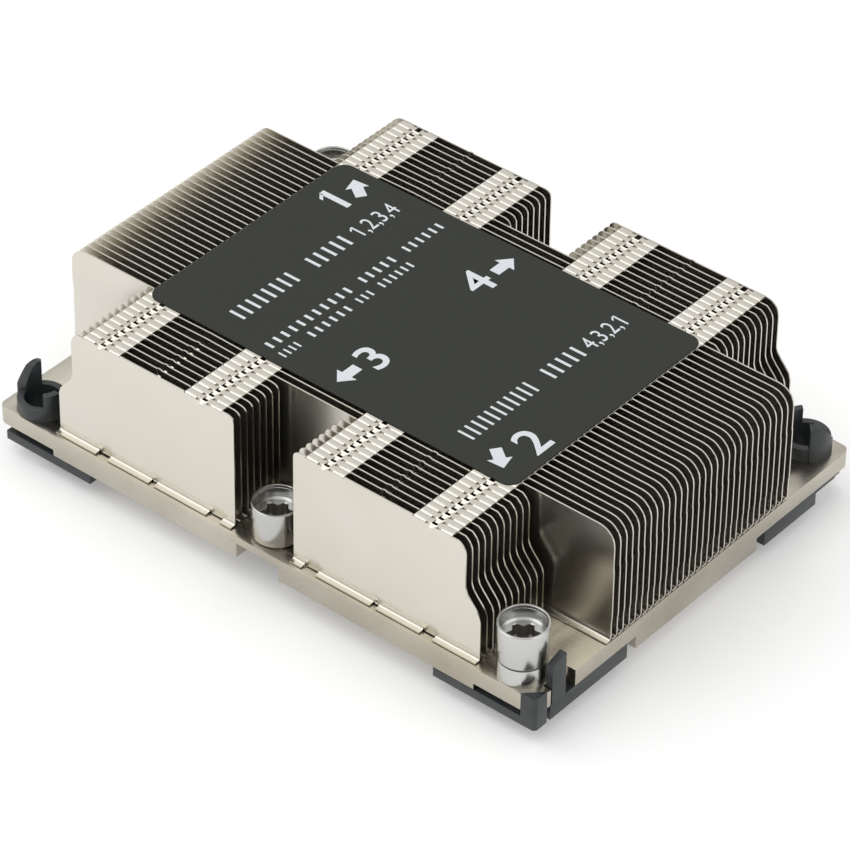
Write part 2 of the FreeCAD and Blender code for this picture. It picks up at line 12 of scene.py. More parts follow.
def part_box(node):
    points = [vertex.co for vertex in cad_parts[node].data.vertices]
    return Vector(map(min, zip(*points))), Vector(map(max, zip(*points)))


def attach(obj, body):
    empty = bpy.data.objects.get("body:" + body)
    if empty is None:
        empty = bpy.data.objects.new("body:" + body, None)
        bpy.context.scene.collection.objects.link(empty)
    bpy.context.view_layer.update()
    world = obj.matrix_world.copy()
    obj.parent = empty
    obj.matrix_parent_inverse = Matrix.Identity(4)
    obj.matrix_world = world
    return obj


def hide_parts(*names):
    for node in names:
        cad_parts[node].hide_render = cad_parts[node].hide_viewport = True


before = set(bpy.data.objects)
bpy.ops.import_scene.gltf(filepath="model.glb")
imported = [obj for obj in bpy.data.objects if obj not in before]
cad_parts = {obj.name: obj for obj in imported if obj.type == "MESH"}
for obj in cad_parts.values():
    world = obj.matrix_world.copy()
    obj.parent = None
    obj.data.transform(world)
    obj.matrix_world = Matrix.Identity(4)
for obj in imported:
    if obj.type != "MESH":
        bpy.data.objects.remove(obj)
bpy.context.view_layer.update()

MM = 0.001
# Fin ends nearer to the middle than this stand at the gap round a middle nut.
MIDDLE_GAP_REACH = 10.0
LOG = logging.getLogger("heatsink")
Point = tuple[float, float, float]
Span = tuple[float, float]
Shape = tuple[list[Point], list[list[int]]]


# ---- helpers


def millimetre_box(node: str) -> tuple[Vector, Vector]:
    """Lowest and highest corner of a CAD node at rest."""
    low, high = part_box(node)
    return Vector(low) / MM, Vector(high) / MM


def linear(colour: str) -> tuple[float, float, float, float]:
    """Linear colour of an sRGB hex value.

    Args:
        colour: six hex digits after a hash sign.

    Returns:
        Red, green, blue and an alpha of one.
    """
    channels = []
    for start in (1, 3, 5):
        value = int(colour[start:start + 2], 16) / 255
        channels.append(value / 12.92 if value <= 0.04045 else ((value + 0.055) / 1.055) ** 2.4)
    return (channels[0], channels[1], channels[2], 1.0)


def stacked(rings: list[list[Point]]) -> Shape:
    """Closed shape through rings of points, with a face on its first and its last ring.

    Args:
        rings: the rings in order, each with the same number of points.

    Returns:
        Points and faces.
    """
    count = len(rings[0])
    points = [point for ring in rings for point in ring]
    faces = [list(range(count)), list(range(len(points) - count, len(points)))]
    for low in range(0, len(points) - count, count):
        for index in range(count):
            after = (index + 1) % count
            faces.append([low + index, low + after, low + count + after, low + count + index])
    return points, faces


def new_object(name: str, shapes: list[Shape], sharp_degrees: float = 30.0) -> Object:
    """Mesh object from shapes.

    Args:
        name: name of the piece.
        shapes: points and faces of each shape.
        sharp_degrees: edges that turn more than this stay sharp.

    Returns:
        The linked object.
    """
    points, faces = [], []
    for shape_points, shape_faces in shapes:
        faces += [[corner + len(points) for corner in face] for face in shape_faces]
        points += [Vector(point) * MM for point in shape_points]
    mesh = bpy.data.meshes.new(name)
    mesh.from_pydata(points, [], faces)
    mesh.validate()
    return finish_object(name, mesh, sharp_degrees)


def finish_object(name: str, mesh: Mesh, sharp_degrees: float) -> Object:
    """Link a mesh as an object with outward normals and smooth shading up to an angle.

    Args:
        name: name of the piece.
        mesh: its mesh, in metres.
        sharp_degrees: edges that turn more than this stay sharp.

    Returns:
        The linked object.
    """
    work = bmesh.new()
    work.from_mesh(mesh)
    bmesh.ops.recalc_face_normals(work, faces=work.faces)
    work.to_mesh(mesh)
    work.free()
    mesh.polygons.foreach_set("use_smooth", [True] * len(mesh.polygons))
    mesh.set_sharp_from_angle(angle=radians(sharp_degrees))
    piece = bpy.data.objects.new(name, mesh)
    bpy.context.scene.collection.objects.link(piece)
    return piece


def softened_copy(name: str, node: str, width: float) -> Object:
    """Copy of a CAD node whose sharp edges are slightly rounded.

    Args:
        name: name of the new piece.
        node: name of the CAD node.
        width: width of the rounding.

    Returns:
        The new piece.
    """
    work = bmesh.new()
    work.from_mesh(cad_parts[node].data)
    bmesh.ops.remove_doubles(work, verts=work.verts, dist=0.002 * MM)
    bmesh.ops.dissolve_limit(work, angle_limit=radians(0.5), verts=work.verts, edges=work.edges)
    sharp = [
        edge for edge in work.edges
        if len(edge.link_faces) == 2 and edge.calc_face_angle(0.0) > radians(35)
    ]
    bmesh.ops.bevel(
        work, geom=sharp, offset=width * MM, offset_type="OFFSET", segments=2, profile=0.6,
        affect="EDGES", clamp_overlap=True,
    )
    mesh = bpy.data.meshes.new(name)
    work.to_mesh(mesh)
    work.free()
    return finish_object(name, mesh, 50.0)


# ---- materials


class Direction(Enum):
    """Way in which rolling, milling or brushing marks run over a surface."""

    ALONG_X = (0.02, 1.0, 1.0)
    ALONG_Z = (1.0, 1.0, 0.02)
    NONE = (1.0, 1.0, 1.0)


def put_on(piece: Object, material: Material) -> None:
    """Give a piece or a CAD node one material all over."""
    piece.data.materials.clear()
    piece.data.materials.append(material)


def dress(piece: Object, material: Material, node: str | None = None, body: str = "heatsink") -> None:
    """Give a new piece its finish and its body, and report it.

    Args:
        piece: the new piece.
        material: its finish.
        node: CAD node that it stands for, if any.
        body: body that it moves with.
    """
    put_on(piece, material)
    if node:
        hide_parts(node)
    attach(piece, body)
    LOG.info("%s: rides on %s, finish %s", piece.name, body, material.name)


def surface_node(holder: Material | World) -> Node:
    """Surface node of a material or a world, whose node tree is opened."""
    holder.use_nodes = True
    return next(node for node in holder.node_tree.nodes if node.type in ("BSDF_PRINCIPLED", "BACKGROUND"))


def set_inputs(node: Node, inputs: dict) -> None:
    """Fill inputs of a node.

    Args:
        node: the node.
        inputs: values by name or number; an output socket is linked instead of copied.
    """
    for name, value in inputs.items():
        if isinstance(value, NodeSocket):
            node.id_data.links.new(value, node.inputs[name])
        else:
            node.inputs[name].default_value = value


def add_node(tree: NodeTree, kind: str, inputs: dict | None = None, **settings: str) -> Node:
    """Add a shader node with its settings and links.

    Args:
        tree: node tree that gets it.
        kind: its type, such as TexNoise.
        inputs: its inputs, as for set_inputs.
        settings: its properties.

    Returns:
        The new node.
    """
    node = tree.nodes.new("ShaderNode" + kind)
    for name, value in settings.items():
        setattr(node, name, value)
    set_inputs(node, inputs or {})
    return node


@dataclass(frozen=True)
class Grain:
    """Pattern in a surface: real size of a grain, how many and how strong its finer grains are, and its stretch."""

    size: float
    detail: float = 2.0
    roughness: float = 0.5
    marks: Direction = Direction.NONE


@dataclass(frozen=True)
class Finish:
    """Surface in two close tones that meet in clouds, with a fine relief in its skin.

    Its roughness lies between two values, and follows the skin or the clouds.
    """

    name: str
    first: str
    second: str
    gloss: Span
    skin: Grain
    relief: float
    clouds: Grain
    tone_span: Span = (0.3, 0.7)
    depth: float = 0.02
    metallic: float = 0.0
    specular: float = 0.5
    cloudy_gloss: bool = False

    def build(self) -> Material:
        """Make the finish.

        Returns:
            Its material.
        """
        material = bpy.data.materials.new(self.name)
        shader = surface_node(material)
        tree = material.node_tree
        where = add_node(tree, "TexCoord").outputs["Object"]
        patterns = []
        for grain in (self.clouds, self.skin):
            place = add_node(tree, "Mapping", {"Vector": where, "Scale": grain.marks.value}).outputs[0]
            inputs = {"Vector": place, "Scale": 1 / (grain.size * MM), "Detail": grain.detail}
            patterns.append(add_node(tree, "TexNoise", {**inputs, "Roughness": grain.roughness}).outputs[0])
        clouds, skin = patterns
        tones = add_node(tree, "ValToRGB", {"Fac": clouds})
        for element, place, tone in zip(tones.color_ramp.elements, self.tone_span, (self.first, self.second)):
            element.position = place
            element.color = linear(tone)
        low, high = self.gloss
        gloss = low
        if low < high:
            mask = clouds if self.cloudy_gloss else skin
            gloss = add_node(tree, "MapRange", {"Value": mask, "To Min": low, "To Max": high}).outputs[0]
        bump = add_node(tree, "Bump", {"Strength": self.relief, "Distance": self.depth * MM, "Height": skin})
        set_inputs(shader, {"Base Color": tones.outputs[0], "Roughness": gloss, "Normal": bump.outputs[0]})
        set_inputs(shader, {"Metallic": self.metallic, "Specular IOR Level": self.specular})
        return material


@dataclass(frozen=True)
class PlatedMetal(Finish):
    """Nickel-plated aluminium: a pale, slightly warm metal with faint marks from rolling or milling."""

    # Clouds in the coat, as wide as on real plating.
    clouds: Grain = Grain(16.667)
    metallic: float = 1.0


@dataclass(frozen=True)
class Film(Finish):
    """Printed polyester film: an even coat with a fine matte grain."""

    tone_span: Span = (0.35, 0.65)
    depth: float = 0.01


@dataclass(frozen=True)
class Moulded(Finish):
    """Injection-moulded plastic: dark, half gloss, with a slightly uneven skin."""

    # Flow clouds a few millimetres wide; the skin's grain is drawn coarser than the real spark texture.
    clouds: Grain = Grain(3.333, 3.0)
    cloudy_gloss: bool = True


# Thin rolled sheet with a satin nickel coat: bright where it faces the light and dark between the fins.
FIN_SHEET = PlatedMetal(
    "nickel_plated_fin_sheet", "#DAD6CC", "#D5D1C6", (0.245, 0.275), Grain(0.5, 3.0, 0.6, Direction.ALONG_Z), 0.02
)
# Milled plate under the same coat: long faint milling marks that stretch the reflections of the fins.
PLATE = PlatedMetal(
    "nickel_plated_milled_plate", "#C6C1B5", "#AEA799", (0.22, 0.34), Grain(0.35, 3.0, 0.6, Direction.ALONG_X), 0.2
)
# Turned aluminium nuts: brighter and cooler than the plate.
TURNED = PlatedMetal(
    "turned_nickel_plated_nut", "#CCCCCA", "#BDBDBA", (0.18, 0.26), Grain(0.4, 3.0, 0.6, Direction.ALONG_Z), 0.06
)
# Key recess: the same metal, rougher from the broaching tool, with a darker colour that is painted shade, because the
# recess lies half in the dark.
SHADED_RECESS = PlatedMetal("dull_recess_painted_shade", "#A6A39B", "#8B8880", (0.37, 0.53), Grain(0.3, 3.0, 0.6), 0.2)
# Steel retaining rings: greyer metal.
STEEL = PlatedMetal("turned_steel_ring", "#B9B8B6", "#A9A8A6", (0.24, 0.36), Grain(0.3, 3.0, 0.6), 0.1)
# Dark grey film of the label: an even coat whose fine grain shows as a faint mottle.
LABEL_FILM = Film("dark_printed_film", "#2A2C28", "#31342E", (0.6, 0.6), Grain(0.12), 0.25, Grain(0.12), specular=0.25)
# White screen-printing ink on the film.
LABEL_INK = Film("white_screen_ink", "#D3D8DC", "#DDE1E6", (0.6, 0.6), Grain(0.3), 0.25, Grain(0.3), specular=0.3)
# Glass-filled nylon of the clip: near black, with soft highlights along its edges.
CLIP_NYLON = Moulded("glass_filled_nylon", "#2A2E30", "#35393B", (0.33, 0.45), Grain(0.4), 0.12)


# ---- fins


@dataclass
class SideEdge:
    """Outline of one end of a fin: a foot, an optional slant inwards and a rounded top corner."""

    foot: float
    waist: float
    slant_bottom: float
    slant_top: float
    corner: float
    height: float

    def at(self, z: float) -> float:
        """Place of the edge along X.

        Args:
            z: height over the plate.

        Returns:
            The place.
        """
        share = min(max((z - self.slant_bottom) / (self.slant_top - self.slant_bottom), 0.0), 1.0)
        inset = (self.foot - self.waist) * share * share * (3 - 2 * share)
        above = max(z - (self.height - self.corner), 0.0)
        rounding = self.corner - sqrt(max(self.corner ** 2 - above ** 2, 0.0))
        # The end at a middle nut's gap faces the middle; every other end faces away from it.
        outward = self.foot if abs(self.foot) > MIDDLE_GAP_REACH else -self.foot
        return self.foot - inset - copysign(rounding, outward)

    def heights(self) -> list[float]:
        """Heights at which the edge bends.

        Returns:
            The heights over the plate.
        """
        steps = [self.height - self.corner * (1 - share) for share in (0.0, 0.31, 0.59, 0.81)]
        if self.foot != self.waist:
            span = self.slant_top - self.slant_bottom
            steps += [self.slant_bottom + span * share for share in (0.0, 0.2, 0.4, 0.6, 0.8, 1.0)]
        return steps


@dataclass
class FoldedFin:
    """One sheet, folded forwards into feet along its bottom and backwards into caps along its top.

    The sheet is a grid. Its columns follow X, and its rows follow the sheet from the tip of the foot, up the wall
    and along the cap. Each place of the grid has a point on either side of the sheet.
    """

    left: SideEdge
    right: SideEdge
    front: float
    base: float
    bands: list[Span]
    feet: list[Span]
    pitch: float
    reach: float
    sheet: float
    height: float
    # Pressed marks: small dimples at the top edge, and a kink near each end of the longest fins.
    dimple_depth: float
    kinked: bool
    dimple: Span = (21.9, 22.6)
    dimple_top: float = 1.3
    kink: Span = (4.1, 13.6)
    kink_shift: float = 0.13
    kink_length: float = 1.0
    crease: float = 0.15
    # Folds: the cap turns tightly and the foot in a wider bend that leaves a dark line under it.
    bend: float = 0.3
    foot_bend: float = 0.75
    foot_lift: float = 0.12
    foot_steps: int = 4
    relief: float = 0.12
    seam: float = 0.03
    # Openings in each cap, along X from its start, and the tongue of the next sheet that fills the middle one.
    dashes: tuple[Span, ...] = ((2.25, 2.95), (4.35, 5.15))
    dash_start: float = 0.9
    dash_cut: float = 0.22
    slot: Span = (3.2, 4.15)
    tongue_tip: Span = (3.3, 4.0)
    tongue_root: float = 0.2
    tongue_reach: float = 0.46
    tongue_rise: float = 0.06
    tongue_drop: float = 0.2
    tongue_sheet: float = 0.14
    # Pressed loop between two feet.
    bead_place: float = 22.25
    bead_radius: float = 0.45
    bead_wire: float = 0.1
    bead_sunk: float = 0.02
    edge_room: float = 0.02
    bend_room: float = 0.05
    row_step: float = 0.1

    def columns(self) -> list[float]:
        """Places at which the sheet is divided, without its two ends.

        Returns:
            The places along X, in order.
        """
        places = set()
        for start, end in self.bands + self.feet:
            places.update((start - self.relief, start, end, end + self.relief))
        for start, _ in self.bands:
            for first, last in (*self.dashes, self.slot):
                places.update((start + first, start + last))
        for side in (-1, 1):
            first, last = (side * place for place in self.dimple)
            places.update((first - self.crease, first, last, last + self.crease))
        low = max(self.left.at(0.0), self.left.at(self.height)) + self.edge_room
        high = min(self.right.at(0.0), self.right.at(self.height)) - self.edge_room
        return sorted(place for place in places if low < place < high)

    def span_at(self, spans: list[Span], place: float) -> int | None:
        """Number of the span that holds a place along X, or None."""
        near = 1e-6
        return next((number for number, (start, end) in enumerate(spans) if start - near <= place <= end + near), None)

    def wall_heights(self) -> list[float]:
        """Heights at which the upright part of the sheet is divided.

        Returns:
            The heights over the plate, in order.
        """
        heights = {self.foot_bend, self.height - self.bend, self.height - self.dimple_top}
        for z in self.kink:
            heights.update((z - self.crease, z + self.crease))
        top = self.height - self.bend - self.bend_room
        for edge in (self.left, self.right):
            heights.update(z for z in edge.heights() if self.foot_bend < z < top)
        return sorted(heights)

    def build(self) -> list[Shape]:
        """Fold the sheet.

        Returns:
            Shapes of the sheet, its tongues and its pressed loops.
        """
        places = [None, *self.columns(), None]
        wall = self.wall_heights()
        feet = [self.span_at(self.feet, place) for place in (self.left.at(0.0), *places[1:-1], self.right.at(0.0))]
        bands = [None, *(self.span_at(self.bands, place) for place in places[1:-1]), None]
        grid = []
        for index, place in enumerate(places):
            edge = self.right if index else self.left
            grid.append(self.column(place, edge, wall, feet[index] is not None, bands[index] is not None))
        present = set()
        for column in range(len(places) - 1):
            same_foot = feet[column] == feet[column + 1]
            same_band = bands[column] == bands[column + 1]
            in_foot = same_foot and feet[column] is not None
            in_band = same_band and bands[column] is not None
            middle = 0.0
            if in_band:
                middle = (places[column] + places[column + 1]) / 2 - self.bands[bands[column]][0]
            dash = any(start < middle < end for start, end in self.dashes)
            flat = in_band and not self.slot[0] < middle < self.slot[1]
            rows = [in_foot] + [same_foot] * self.foot_steps + [True] * (len(wall) - 1)
            rows += [same_band and not dash] * 2 + [flat] * 2 + [flat and not dash]
            present |= {(column, row) for row, there in enumerate(rows) if there}
        tongues = [self.tongue(start) for start, _ in self.bands]
        beads = [
            self.bead(place) for place in (-self.bead_place, self.bead_place)
            if len(self.feet) > 1 and self.feet[0][0] < place < self.feet[-1][1]
        ]
        return [self.shell(grid, present), *tongues, *beads]

    def column(
        self, place: float | None, edge: SideEdge, wall: list[float], on_foot: bool, on_cap: bool
    ) -> list[tuple[Point, Point]]:
        """Points on either side of the sheet in one column of the grid.

        Args:
            place: place along X, or None at an end of the fin.
            edge: outline of that end of the fin.
            wall: heights of the wall's rows.
            on_foot: whether a foot stands here.
            on_cap: whether a cap starts here.

        Returns:
            Two points for each row.
        """
        x = edge.at(0.0) if place is None else place
        pairs = [tuple((x, y, z) for y, z in pair) for pair in self.foot_rows(on_foot)]
        for z in wall + ([] if on_cap else [self.height - self.crease] + [self.height] * 4):
            x = edge.at(z) if place is None else place
            y = self.front + self.shift(x, z)
            pairs.append(((x, y, self.base + z), (x, y + self.sheet, self.base + z)))
        if on_cap:
            pairs += [tuple((x, y, z) for y, z in pair) for pair in self.cap_rows()]
        return pairs

    def foot_rows(self, on_foot: bool) -> list[tuple[Span, Span]]:
        """Rows below the wall.

        Args:
            on_foot: whether they bend into a foot, or stand between two feet.

        Returns:
            Y and Z of both sides of the sheet for each row.
        """
        low, back = self.base + self.foot_lift, self.front + self.sheet
        if not on_foot:
            heights = [low + self.row_step * row for row in range(1 + self.foot_steps)]
            return [((self.front, z), (back, z)) for z in heights]
        tip = self.front - self.reach + self.seam
        rows = [((tip, low + self.sheet), (tip, low))]
        outer = self.foot_bend - self.foot_lift
        for step in range(self.foot_steps):
            angle = radians(90 * (1 - step / self.foot_steps))
            rows.append(tuple(
                (back - outer + radius * cos(angle), low + outer - radius * sin(angle))
                for radius in (outer - self.sheet, outer)
            ))
        return rows

    def cap_rows(self) -> list[tuple[Span, Span]]:
        """Rows over the wall, in the bend and the flat of a cap.

        Returns:
            Y and Z of both sides of the sheet for each row.
        """
        top, end = self.base + self.height, self.pitch - self.seam
        rows = []
        for angle in (pi / 4, pi / 2):
            rows.append(tuple(
                (self.front + self.bend - radius * cos(angle), top - self.bend + radius * sin(angle))
                for radius in (self.bend, self.bend - self.sheet)
            ))
        for reach in (self.dash_start, end - self.dash_cut, end):
            rows.append(((self.front + reach, top), (self.front + reach, top - self.sheet)))
        return rows

    def shift(self, x: float, z: float) -> float:
        """How far the wall is pressed back in its dimples and kinks.

        Args:
            x: place along X.
            z: height over the plate.

        Returns:
            The depth.
        """
        first, last = self.dimple
        if z > self.height - self.dimple_top and first - self.edge_room < abs(x) < last + self.edge_room:
            return self.dimple_depth
        if self.kinked and self.kink[0] < z < self.kink[1] and abs(x) > self.feet[-1][1] - self.kink_length:
            return self.kink_shift
        return 0.0

    def shell(self, grid: list[list[tuple[Point, Point]]], present: set[tuple[int, int]]) -> Shape:
        """Closed shell over the cells that are there.

        Args:
            grid: the two points of the sheet by column and row.
            present: column and row of each cell.

        Returns:
            Points and faces.
        """
        numbers, faces = {}, []

        def number(place: tuple[int, int], side: int) -> int:
            """Number of the point at a place of the grid, on one side of the sheet."""
            return numbers.setdefault((*place, side), len(numbers))

        for column, row in sorted(present):
            corners = [(column, row), (column + 1, row), (column + 1, row + 1), (column, row + 1)]
            faces.append([number(corner, 0) for corner in corners])
            faces.append([number(corner, 1) for corner in reversed(corners)])
            neighbours = [(column, row - 1), (column + 1, row), (column, row + 1), (column - 1, row)]
            for side, neighbour in enumerate(neighbours):
                if neighbour not in present:
                    first, second = corners[side], corners[(side + 1) % 4]
                    faces.append([number(second, 0), number(first, 0), number(first, 1), number(second, 1)])
        return [grid[column][row][side] for column, row, side in numbers], faces

    def bead(self, x: float) -> Shape:
        """Small pressed loop at the root of the sheet.

        Args:
            x: place along X.

        Returns:
            Points and faces.
        """
        around, across = 16, 6
        points, faces = [], []
        for turn in range(around):
            angle = 2 * pi * turn / around
            low, high = turn * across, (turn + 1) % around * across
            for step in range(across):
                tilt = 2 * pi * step / across
                radius = self.bead_radius + self.bead_wire * cos(tilt)
                points.append((
                    x + radius * cos(angle),
                    self.front - self.bead_sunk + self.bead_wire * sin(tilt),
                    self.base + self.foot_bend + radius * sin(angle),
                ))
                above = (step + 1) % across
                faces.append([low + step, high + step, high + above, low + above])
        return points, faces

    def tongue(self, start: float) -> Shape:
        """Tongue that leans forwards from the bend.

        Args:
            start: start of its cap band along X.

        Returns:
            Points and faces.
        """
        top = self.base + self.height
        left, right = (start + offset for offset in self.slot)
        tip_left, tip_right = (start + offset for offset in self.tongue_tip)
        root_y, root_z = self.front + self.tongue_root, top - self.tongue_rise
        tip_y, tip_z = self.front - self.tongue_reach, top - self.tongue_drop
        outline = ((left, root_y, root_z), (right, root_y, root_z), (tip_right, tip_y, tip_z), (tip_left, tip_y, tip_z))
        return stacked([[(x, y, z - drop) for x, y, z in outline] for drop in (0.0, self.tongue_sheet)])


@dataclass
class FinStack:
    """All the fins: short packs, medium fins and long fins, each row one folded sheet."""

    sheet: float = 0.25
    cad_sheet: float = 0.4
    short_rows: int = 8
    corner_long: float = 3.0
    corner_waist: float = 2.6
    corner_gap: float = 1.2
    waist_inset: float = 3.0
    slant_bottom: float = 7.6
    slant_top: float = 12.6
    dimple_depth: float = 0.14
    inner_band: Span = (8.4, 15.7)
    outer_band: Span = (29.1, 36.4)
    short_feet: tuple[Span, ...] = ((5.9, 8.2), (11.0, 21.7), (22.8, 31.35), (33.8, 42.1))
    pitch: float = field(init=False)
    base: float = field(init=False)
    height: float = field(init=False)
    long_half: float = field(init=False)
    foot_half: float = field(init=False)

    def __post_init__(self) -> None:
        """Take the places of the rows from the CAD."""
        low, high = millimetre_box("long_fin_01")
        self.pitch = millimetre_box("long_fin_02")[0].y - low.y
        self.base = low.z
        self.height = high.z - low.z
        self.long_half = high.x
        self.foot_half = millimetre_box("medium_fin_01")[1].x

    def build(self) -> None:
        """Make every fin and dress it."""
        material = FIN_SHEET.build()
        for node in sorted(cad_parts):
            if node.startswith(("long_fin", "medium_fin")) or node.endswith("fin_pack"):
                dress(new_object(node + "_sheet", self.fins(node), 50.0), material, node)

    def mirror(self, spans: tuple[Span, ...]) -> list[Span]:
        """The same spans on the other side of the middle, from left to right."""
        return [(-end, -start) for start, end in reversed(spans)]

    def plain_end(self, foot: float, corner: float) -> SideEdge:
        """Upright end of a fin at a place along X, with the radius of its top corner."""
        return SideEdge(foot, foot, 0.0, 1.0, corner, self.height)

    def waisted_end(self, side: int) -> SideEdge:
        """Outer end of a short or medium fin on one side: 1 is right and -1 is left."""
        foot, waist = self.foot_half * side, (self.foot_half - self.waist_inset) * side
        return SideEdge(foot, waist, self.slant_bottom, self.slant_top, self.corner_waist, self.height)

    def fins(self, node: str) -> list[Shape]:
        """Fins of a CAD node: one that crosses the plate, or the short ones of a pack.

        Args:
            node: name of the node.

        Returns:
            Their shapes.
        """
        low, high = millimetre_box(node)
        right_bands = (self.inner_band, self.outer_band)
        left_bands = self.mirror(right_bands)
        long, rows = node.startswith("long"), 1
        if long or node.startswith("medium"):
            half = self.long_half if long else self.foot_half
            ends = [self.waisted_end(-1), self.waisted_end(1)]
            if long:
                ends = [self.plain_end(side * half, self.corner_long) for side in (-1, 1)]
            feet, bands = [(-half, half)], left_bands + list(right_bands)
        elif "right" in node:
            rows, ends = self.short_rows, [self.plain_end(low.x, self.corner_gap), self.waisted_end(1)]
            feet, bands = list(self.short_feet), list(right_bands)
        else:
            rows, ends = self.short_rows, [self.waisted_end(-1), self.plain_end(high.x, self.corner_gap)]
            feet, bands = self.mirror(self.short_feet), left_bands
        reach = self.pitch - self.cad_sheet
        shapes = []
        for row in range(rows):
            # The sheet at the back edge has no caps, and the face at the front edge stays smooth.
            caps = [] if "back" in node and row == rows - 1 else bands
            dimple_depth = 0.0 if "front" in node and row == 0 else self.dimple_depth
            shapes += FoldedFin(
                *ends, low.y + self.pitch * row + reach, self.base, caps, feet, self.pitch, reach, self.sheet,
                self.height, dimple_depth, long,
            ).build()
        return shapes


# ---- label


@dataclass
class Arrow:
    """Printed arrow: its middle on the label and the way it points."""

    x: float
    y: float
    degrees: float
    length: float = 4.8
    head: float = 2.3
    head_half: float = 1.95
    shaft_half: float = 0.95

    def outline(self) -> list[Span]:
        """Outline of the arrow.

        Returns:
            Its corners on the label.
        """
        half = self.length / 2
        neck = half - self.head
        shape = [
            (half, 0.0), (neck, self.head_half), (neck, self.shaft_half), (-half, self.shaft_half),
            (-half, -self.shaft_half), (neck, -self.shaft_half), (neck, -self.head_half),
        ]
        turn = Matrix.Rotation(radians(self.degrees), 2)
        return [(self.x + (turn @ Vector(point)).x, self.y + (turn @ Vector(point)).y) for point in shape]


@dataclass
class Line:
    """Printed line that runs along Y with its top towards -X: words as rows of plain bars, then digits.

    A word is its start, its end and its number of bars. The digits are their text, start and width.
    """

    x: float
    height: float
    words: tuple[tuple[float, float, int], ...]
    digits: tuple[str, float, float] | None = None


